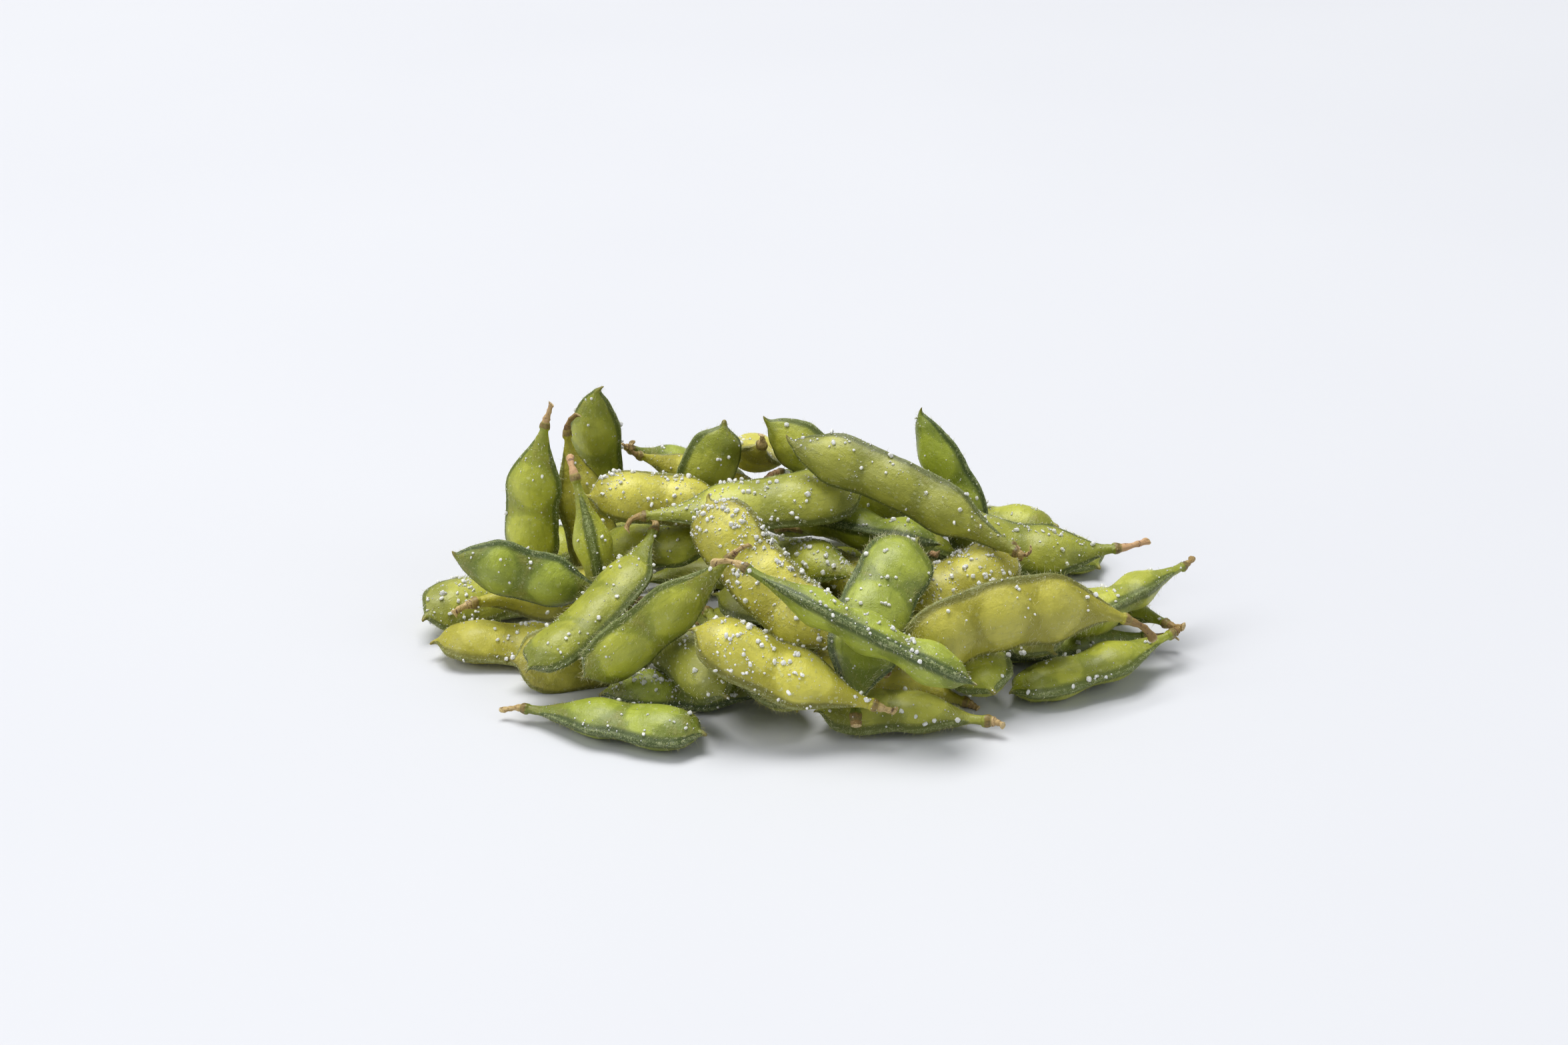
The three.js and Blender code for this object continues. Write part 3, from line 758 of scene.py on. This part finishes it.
def mark_skin(pod, beans):
    """Writes on the mesh where each part of the skin lies, for the finish and for the hairs."""
    rest = points_of(pod.data) / MM
    x = rest[:, 0]
    unit = rest[:, 1:] / profile(beans, x)
    at_bean = stations_of(beans)[FIRST_SWELL : FIRST_SWELL + 2 * beans - 1 : 2, 0]
    hull = np.clip((x - HULL_FROM) / HULL_FADE, 0, 1)
    off = np.abs(rest[:, 2])
    lip = np.where(rest[:, 1] > 0, 1.5, 1.0)  # the main seam's band is the wider one
    edge = np.clip((np.abs(unit[:, 0]) - 0.5) / 0.3, 0, 1)
    along = sum(np.exp(-(((x - at) / SWELL_REACH) ** 2)) for at in at_bean)
    across = (unit[:, 0] * 1.08) ** 2
    off_bean = np.min([((x - at) / TIGHT_REACH) ** 2 + across for at in at_bean], axis=0)
    marks = {
        "seam": np.clip(1.25 - off / lip * 0.62, 0, 1) * hull * edge,
        "bean": np.clip(1.35 - off_bean, 0, 1),
        "pinch": (1 - np.clip(along, 0, 1)) * hull,
        "stalk": 1 - np.clip((x + 0.7) / 0.5, 0, 1),
        "collar": np.clip(1.5 - np.abs(x - 0.25) / 0.75, 0, 1),
        "beak": np.clip((x - (LENGTHS[beans] - BEAK_LENGTH)) / BEAK_LENGTH, 0, 1),
        "torn": np.clip((TORN_FROM - x) / 0.45, 0, 1),
    }
    for name, values in marks.items():
        write_mark(pod.data, name, values)
    kept = pod.data.attributes.new("rest_place", "FLOAT_VECTOR", "POINT")
    kept.data.foreach_set("vector", rest.astype(np.float32).ravel())


# ---------------------------------------------------------------- how the pods differ

# The numbers are those of the solids. How thick a pod is as a share of its solid, where it is flatter.
FLAT = {
    56: 0.8, 47: 0.82, 60: 0.84, 34: 0.8, 33: 0.9, 59: 0.88,
    32: 0.85, 36: 0.85, 46: 0.92, 45: 0.8, 44: 0.9,
}
USUAL_FLAT = 0.96
# How much is left of the stalk.
STUBS = {
    47: 0.12, 4: 0.45, 5: 0.5, 6: 0.4, 1: 0.8, 9: 0.25,
    12: 0.7, 31: 0.3, 59: 1.0, 42: 0.9, 46: 0.9, 44: 0.95,
}
# Which skin it has. All the others are fresh.
SKIN_OF = {
    "yellow": (1, 4, 6, 14, 15, 40, 43, 46, 48, 51, 52, 36, 54),
    "deep": (2, 3, 10, 29, 33, 41, 45, 49, 47, 53, 55),
    "olive": (5, 8, 13, 31, 30, 39, 60, 59, 18, 22),
}
TINTS = {46: -0.6, 47: -0.3, 48: 1.0, 33: -0.5, 60: 0.1}  # -0.5 is greener and 1 is yellower
# How light the skin is beside the others of its kind: partly the pod's own tone, partly painted light
# and shade for how brightly the pod is lit where it lies.
TONE_AND_PAINTED_LIGHT = {
    46: 0.84, 56: 0.78, 44: 0.78, 60: 0.84, 30: 0.75, 43: 0.9, 42: 0.95,
    34: 1.25, 35: 1.15, 36: 1.1, 59: 1.1, 45: 1.2, 49: 1.1, 33: 1.1,
}
# How much salt lies on it, and how hairy it is.
SALTED = {
    48: 4.5, 51: 2.4, 42: 2.6, 43: 2.6, 13: 2.4, 59: 1.8, 1: 2.4, 3: 2.6, 30: 2, 60: 1.4,
    49: 1.6, 34: 1.4, 36: 1.2, 40: 1.8, 44: 1.6, 56: 0.8, 46: 0.5, 47: 0.5, 31: 0.3, 5: 0.5,
}
HAIRY = {47: 2.2, 46: 2.2, 32: 2.0, 31: 1.8, 56: 1.6, 5: 1.5, 12: 1.4, 10: 1.3, 43: 1.3, 29: 1.2}
USUAL_SALT = 0.8
USUAL_HAIR = 0.8
NUMBERS = range(61)  # the pods are counted from 1


def skin_of(number):
    return next((skin for skin, numbers in SKIN_OF.items() if number in numbers), "fresh")


# ---------------------------------------------------------------- pods laid along their runs

BEANS = {13: 2, 15: 3}  # by how many marks after the first there are on the run
STALK_FROM = -0.6  # millimetres from the collar: the stalk is shortened from here on
HOOK_FROM = -1.0  # and it hooks over from here on
HOOK_LENGTH = 6
PRESSES = {"dents": (7 * MM, 0.75 * MM), "ripples": (1.9 * MM, 0.16 * MM)}  # how wide and how deep


def lay_pod(master, beans, run, number):
    """The places of the master's vertices once it is laid along the run."""
    own = np.random.default_rng(number)
    left = STUBS.get(number, own.uniform(0.65, 1.0))
    marks, middles, widths, depths = run
    depths = depths * FLAT.get(number, USUAL_FLAT)
    rest = points_of(master.data) / MM
    x = rest[:, 0]
    unit = rest[:, 1:] / profile(beans, x)
    stations = stations_of(beans)[:, 0]
    shortened = np.where(x < STALK_FROM, STALK_FROM + (x - STALK_FROM) * left, x)
    at = np.interp(shortened, stations, marks)
    middle = smooth_through(marks, middles, at)
    wide = smooth_through(marks, widths, at)
    deep = smooth_through(marks, depths, at)
    back = unit_of(middles[0] - middles[1])
    past = np.clip(stations[0] - x, 0, None) * MM
    laid = middle + unit[:, :1] * wide + unit[:, 1:] * deep + past[:, None] * back
    # The stalk hooks over to one side, and the beak curls towards the main seam.
    side = unit_of(np.cross(back, own.normal(0, 1, 3)))
    out = np.clip((HOOK_FROM - x) / HOOK_LENGTH, 0, 1.1) * left
    laid += (out**2 * own.uniform(1.5, 4.0) * MM)[:, None] * side
    laid -= (out**3 * own.uniform(0.3, 1.6) * MM)[:, None] * back
    end = LENGTHS[beans] * BEAK_FROM
    curl = np.clip((x - end) / (LENGTHS[beans] - end), 0, 1) ** 2 * own.uniform(0.2, 1.5) * MM
    laid += curl[:, None] * unit_of(widths[-2])
    return laid


def dress_pods(masters, finishes):
    """A pod with its own bends, dents and skin in the place of each solid."""
    for name, (width, _) in PRESSES.items():
        bpy.data.textures.new(name, "CLOUDS").noise_scale = width
    pods = {}
    for name in sorted(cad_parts):
        number = int(name.split("_")[1])
        run = run_of(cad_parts[name])
        beans = BEANS[len(run[0]) - 1]
        master = masters[beans]
        pod = master.copy()
        pod.data = master.data.copy()
        pod.name = pod.data.name = f"whole_{name}"
        bpy.context.scene.collection.objects.link(pod)
        move_points(pod.data, lay_pod(master, beans, run, number))
        dent(pod)
        points = points_of(pod.data)
        points[:, 2] = np.maximum(points[:, 2], 0.0)
        move_points(pod.data, points)
        bpy.ops.object.shade_smooth()
        skin = skin_of(number)
        mark_pod(pod, number)
        pod.data.materials.append(finishes[skin])
        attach(pod, BODY)
        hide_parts(name)
        pods[number] = pod
    return pods


def dent(pod):
    """Dents and ripples, which run on from one pod to the next because they lie in the scene."""
    bpy.ops.object.select_all(action="DESELECT")
    bpy.context.view_layer.objects.active = pod
    pod.select_set(True)
    for name, (_, depth) in PRESSES.items():
        press = pod.modifiers.new("press", "DISPLACE")
        press.texture = bpy.data.textures[name]
        press.texture_coords = "GLOBAL"
        press.strength = depth
        press.mid_level = 0.5
        bpy.ops.object.modifier_apply(modifier=press.name)


def mark_pod(pod, number):
    """What differs from pod to pod: its tint, its age, and where its pattern starts."""
    own = random.Random(number * 7 + 3)
    many = len(pod.data.vertices)
    marks = {
        "tint": TINTS.get(number, own.uniform(-0.5, 1)),
        "ageing": own.uniform(0, 0.4),
        "salted": min(1.0, 0.25 + 0.2 * SALTED.get(number, USUAL_SALT)),
        # the lightness is partly the pod's tone and partly painted light and shade
        "light": TONE_AND_PAINTED_LIGHT.get(number, 1.0),
    }
    for name, value in marks.items():
        write_mark(pod.data, name, np.full(many, value))
    shift = np.array([own.uniform(0, 900) for _ in range(3)], np.float32)
    shifted = rest_places_of(pod.data) + shift
    pod.data.attributes["rest_place"].data.foreach_set("vector", shifted.ravel())


# ---------------------------------------------------------------- hairs and salt

MARKS = ("seam", "pinch", "stalk")
OFF_THE_FACE = 0.02  # millimetres: where a ray starts, so that it doesn't meet its own face
LAST_LOW_POD = 30
HAIR_ROOM = 1.6 * MM  # no hair grows where another pod is nearer than this
ROOT = 0.03  # millimetres: how deep a hair's root lies in the skin
THICK_HAIR = (0.024, 0.038)  # millimetres
SMALLEST_COARSE = 0.45 * MM
GRAIN_SIZES = (0.22, 1.15)  # millimetres, and most of them are near the lower end
DUST_SIZES = (0.1, 0.24)
NARROW_CLUMP = 2.1 * MM
WIDE_CLUMP = 7 * MM


class Ground:
    """The faces of all the pods, to put small things on."""

    def __init__(self, pods):
        corners, owners, marks, onward = [], [], [], []
        for number, pod in sorted(pods.items()):
            mesh = pod.data
            mesh.calc_loop_triangles()
            tris = np.empty(len(mesh.loop_triangles) * 3, np.int32)
            mesh.loop_triangles.foreach_get("vertices", tris)
            tris = tris.reshape(-1, 3)
            placed = points_of(mesh)[tris]
            corners.append(placed)
            marks.append(np.stack([mark_of(mesh, name)[tris].mean(1) for name in MARKS], 1))
            owners.append(np.full(len(tris), number))
            lean = rest_places_of(mesh)[tris, 0]
            lean = lean - lean.mean(1, keepdims=True)
            onward.append((placed * lean[:, :, None]).sum(1))
        self.corners = np.concatenate(corners)
        self.owners = np.concatenate(owners)
        self.marks = np.concatenate(marks)
        self.onward = np.concatenate(onward)
        first, second, third = self.corners.transpose(1, 0, 2)
        sides = np.cross(second - first, third - first)
        self.areas = np.linalg.norm(sides, axis=1) / 2
        self.normals = sides / np.maximum(2 * self.areas[:, None], 1e-12)
        flat = self.corners.reshape(-1, 3)
        self.tree = BVHTree.FromPolygons(flat.tolist(), np.arange(len(flat)).reshape(-1, 3).tolist())

    def spots(self, weights, many, draw):
        """Many places on the faces, more of them where the weight is greater."""
        share = weights * self.areas
        chosen = draw.choice(len(share), size=many, p=share / share.sum())
        a, b = draw.random((2, many))
        turned = a + b > 1
        a[turned], b[turned] = 1 - a[turned], 1 - b[turned]
        corners = self.corners[chosen]
        places = corners[:, 0] + a[:, None] * (corners[:, 1] - corners[:, 0])
        places += b[:, None] * (corners[:, 2] - corners[:, 0])
        return chosen, places

    def clear(self, place, way, reach):
        """True where nothing is in the way for this far."""
        start = Vector(place) + Vector(way) * OFF_THE_FACE * MM
        return self.tree.ray_cast(start, Vector(way), reach)[0] is None


def many_copies(name, shapes, turns, places, finish):
    """One mesh of many small copies: for each a shape, its turn and size as a matrix, and its place."""
    verts, faces, start = [], [], 0
    for (points, tris), turn, place in zip(shapes, turns, places):
        verts.append(points @ turn.T + place)
        faces.append(tris + start)
        start += len(points)
    mesh = bpy.data.meshes.new(name)
    mesh.from_pydata(np.concatenate(verts).tolist(), [], np.concatenate(faces).tolist())
    mesh.validate()
    piece = bpy.data.objects.new(name, mesh)
    bpy.context.scene.collection.objects.link(piece)
    mesh.materials.append(finish)
    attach(piece, BODY)
    return piece


def shape_of(piece):
    """The points and triangles of a small modelled piece, which is then put away."""
    mesh = piece.data
    mesh.calc_loop_triangles()
    points = np.array([v.co for v in mesh.vertices])
    tris = np.array([t.vertices for t in mesh.loop_triangles])
    bpy.data.objects.remove(piece)
    return points, tris


def model_hair(bend):
    """A hair 1 long along +Z, three-sided, that leans over towards its point."""
    bpy.ops.object.select_all(action="DESELECT")
    bpy.ops.mesh.primitive_cone_add(
        vertices=3, radius1=1, radius2=0, depth=1, end_fill_type="NOTHING", location=(0, 0, 0.5)
    )
    hair = bpy.context.object
    bpy.ops.object.transform_apply(location=True)
    bpy.ops.object.mode_set(mode="EDIT")
    bpy.ops.mesh.select_all(action="SELECT")
    bpy.ops.mesh.bisect(plane_co=(0, 0, 0.5), plane_no=(0, 0, 1))
    mesh = bmesh.from_edit_mesh(hair.data)
    pick(mesh, lambda v: v.co.z > 0.9)
    bpy.ops.transform.translate(value=(bend, 0, -bend * 0.3))
    pick(mesh, lambda v: 0.4 < v.co.z < 0.6)
    bpy.ops.transform.translate(value=(bend * 0.22, 0, 0))
    bpy.ops.object.mode_set(mode="OBJECT")
    return shape_of(hair)


def model_crystal(seed, bevel):
    """A salt crystal about 1 across: a cube with its edges broken, a little out of true."""
    bpy.ops.object.select_all(action="DESELECT")
    bpy.ops.mesh.primitive_cube_add(size=1)
    crystal = bpy.context.object
    bpy.ops.object.mode_set(mode="EDIT")
    bpy.ops.mesh.select_all(action="SELECT")
    if bevel:
        bpy.ops.mesh.bevel(offset=0.22, segments=1, affect="EDGES")
    bpy.ops.transform.vertex_random(offset=0.13, seed=seed)
    bpy.ops.mesh.normals_make_consistent(inside=False)
    bpy.ops.object.mode_set(mode="OBJECT")
    return shape_of(crystal)


def grow_hairs(ground):
    """Fine hairs all over the pods, most of them on the seams and in the pinches."""
    draw = np.random.default_rng(5)
    kinds = [model_hair(0.15), model_hair(0.4), model_hair(0.65)]
    hairy = np.array([HAIRY.get(number, USUAL_HAIR) for number in NUMBERS])
    seam, pinch, stalk = ground.marks.T
    weights = (0.16 + 1.6 * seam.clip(0, 0.8) + 1.5 * pinch**2) * (1 - stalk) * hairy[ground.owners]
    hairs = {"fine_hairs_low": ([], [], []), "fine_hairs_top": ([], [], [])}
    for face, place in zip(*ground.spots(weights, HAIRS, draw)):
        normal, onward, owner = ground.normals[face], ground.onward[face], ground.owners[face]
        onward = onward / max(np.linalg.norm(onward), 1e-12)
        way = normal * draw.uniform(0.35, 1.0) + onward * draw.uniform(0.1, 0.9)
        way = unit_of(way + draw.normal(0, 0.35, 3))
        long = draw.uniform(0.6, 1.1) * (1.0 + 1.1 * draw.random() ** 2)
        long = long * hairy[owner] ** 0.3 * MM
        if way @ normal < 0.2 or (place + way * long)[2] < 0.15 * MM:
            continue
        if not ground.clear(place, way, long * 1.15) or not ground.clear(place, normal, HAIR_ROOM):
            continue
        side = unit_of(np.cross(way, draw.normal(0, 1, 3)))
        thick = draw.uniform(*THICK_HAIR) * MM
        shapes, turns, roots = hairs["fine_hairs_low" if owner <= LAST_LOW_POD else "fine_hairs_top"]
        shapes.append(kinds[draw.integers(3)])
        turns.append(np.stack((side * thick, np.cross(way, side) * thick, way * long), 1))
        roots.append(place - normal * ROOT * MM)
    finish = hair_finish()
    for name, (shapes, turns, roots) in hairs.items():
        many_copies(name, shapes, turns, roots, finish)


def strew_salt(ground):
    """Coarse salt in clumps, on what faces up, and fine dust that the seams and pinches hold."""
    draw = np.random.default_rng(11)
    coarse = [model_crystal(seed, True) for seed in (1, 2, 3, 4)]
    small = [model_crystal(seed, False) for seed in (5, 6, 7, 8)]
    salted = np.array([SALTED.get(number, USUAL_SALT) for number in NUMBERS])
    upward = ((ground.normals[:, 2] + 0.35) / 1.35).clip(0, 1)
    seam, pinch, stalk = ground.marks.T
    weights = salted[ground.owners] ** 1.2 * (upward + 0.02) * (1 - 0.9 * stalk)
    held = weights * (0.4 + 1.2 * seam + pinch)
    shapes, turns, places = [], [], []
    lots = ((weights, SALT_GRAINS, GRAIN_SIZES, True), (held, SALT_DUST, DUST_SIZES, False))
    for share, many, (least, most), clumped in lots:
        for face, place in zip(*ground.spots(share, many, draw)):
            clump = noise.noise(Vector(place) / NARROW_CLUMP)
            clump += 0.6 * noise.noise(Vector(place) / WIDE_CLUMP + Vector((9, 2, 5)))
            if clumped and clump + draw.normal(0, 0.12) < 0.24 - 0.05 * salted[ground.owners[face]]:
                continue
            normal = ground.normals[face]
            size = (least + (most - least) * draw.random() ** 3.2) * MM
            if place[2] < size or not ground.clear(place, normal, 1.5 * size):
                continue
            turn = np.linalg.qr(draw.normal(0, 1, (3, 3)))[0]
            if np.linalg.det(turn) < 0:
                turn[:, 0] *= -1
            kinds = coarse if size > SMALLEST_COARSE else small
            shapes.append(kinds[draw.integers(len(kinds))])
            turns.append(turn * (size * draw.uniform(0.55, 1.2, 3)))
            places.append(place + normal * size * 0.25)
    many_copies("salt_grains", shapes, turns, places, salt_finish())


# ---------------------------------------------------------------- the heap

set_camera()
set_table()
set_light()
masters = {beans: model_pod(beans) for beans in LENGTHS}
finishes = {name: skin_finish(name) for name in SKINS}
pods = dress_pods(masters, finishes)
for master in masters.values():
    bpy.data.objects.remove(master)
ground = Ground(pods)
grow_hairs(ground)
strew_salt(ground)
